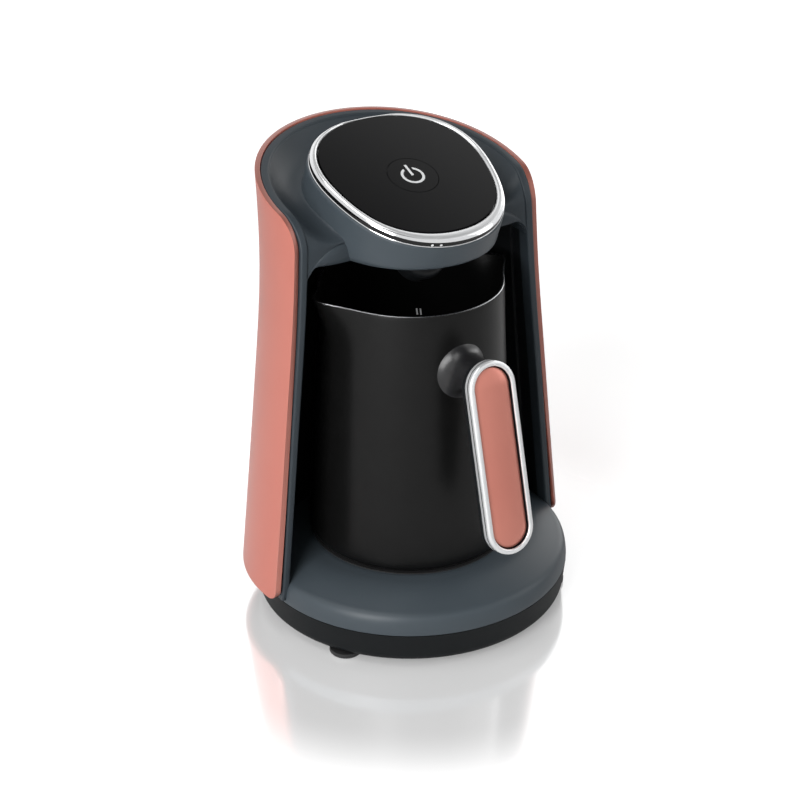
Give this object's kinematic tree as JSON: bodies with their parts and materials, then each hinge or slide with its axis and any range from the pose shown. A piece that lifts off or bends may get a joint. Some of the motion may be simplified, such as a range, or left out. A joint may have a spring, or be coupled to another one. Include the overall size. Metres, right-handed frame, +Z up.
{
  "type": "electric Turkish coffee maker",
  "caption": "Compact electric Turkish coffee maker: a lidless pot with a long handle stands on a heated round base under a tilted round head with a power button.",
  "frame": {"origin": "on the table under the middle of the machine's bounding box", "axes": "+Z up, the pot's handle and the head's nose towards -Y, +X to the machine's left as it faces you"},
  "size_m": [0.1704, 0.1715, 0.2358],
  "materials": {
    "copper_paint": "satin metallic lacquer",
    "slate_plastic": "fine moulded texture",
    "charcoal_plastic": "fine moulded texture",
    "black_gloss": "mirror-smooth moulded",
    "chrome_trim": "polished plating",
    "pot_coating": "satin baked coating",
    "bare_steel": "brushed",
    "plate_metal": "anodised, turned",
    "soft_seal": "matte",
    "clear_white": "translucent white",
    "board_green": "solder mask",
    "relay_case": "moulded",
    "wire_sleeve": "woven sleeve"
  },
  "bodies": {
    "machine": {"outer_shell": "copper_paint", "front_housing": "slate_plastic", "base_cover": "slate_plastic", "bay_liner": "charcoal_plastic", "head_underside": "charcoal_plastic", "base_pan": "charcoal_plastic", "sensor_snout": "charcoal_plastic", "cable_gland": "charcoal_plastic", "tactile_switch": "charcoal_plastic", "buzzer": "charcoal_plastic", "thermal_cutout": "charcoal_plastic", "top_panel": "black_gloss", "bezel_ring": "chrome_trim", "tower_screws": "bare_steel", "board_screws": "bare_steel", "power_screws": "bare_steel", "base_screws": "bare_steel", "clamp_screws": "bare_steel", "heating_element": "bare_steel", "element_clamp": "bare_steel", "temperature_probe": "bare_steel", "heater_plate": "plate_metal", "heat_shield": "plate_metal", "heater_seal": "soft_seal", "rubber_feet": "soft_seal", "indicator_lights": "clear_white", "status_leds": "clear_white", "sensor_window": "clear_white", "control_board": "board_green", "power_board": "board_green", "sensor_board": "board_green", "relay": "relay_case", "filter_capacitor": "relay_case", "terminal_block": "board_green", "signal_lead": "wire_sleeve", "heater_wires": "wire_sleeve"},
    "power_button": {"power_button": "black_gloss", "power_symbol": "clear_white", "switch_plunger": "charcoal_plastic"},
    "pot": {"pot_body": "pot_coating", "pot_stud": "bare_steel", "handle_stem": "charcoal_plastic", "handle_grip": "charcoal_plastic", "handle_frame": "chrome_trim", "handle_insert": "copper_paint", "handle_screw": "bare_steel"}
  },
  "joints": [
    {"name": "pot_slide", "type": "slide", "parent": "machine", "child": "pot", "axis": [0, -1, 0], "range_m": [0, 0.15]},
    {"name": "power_button_press", "type": "slide", "parent": "machine", "child": "power_button", "axis": [0, 0.3584, -0.9336], "range_m": [0, 0.0005], "stiffness_N_per_m": 4000}
  ]
}
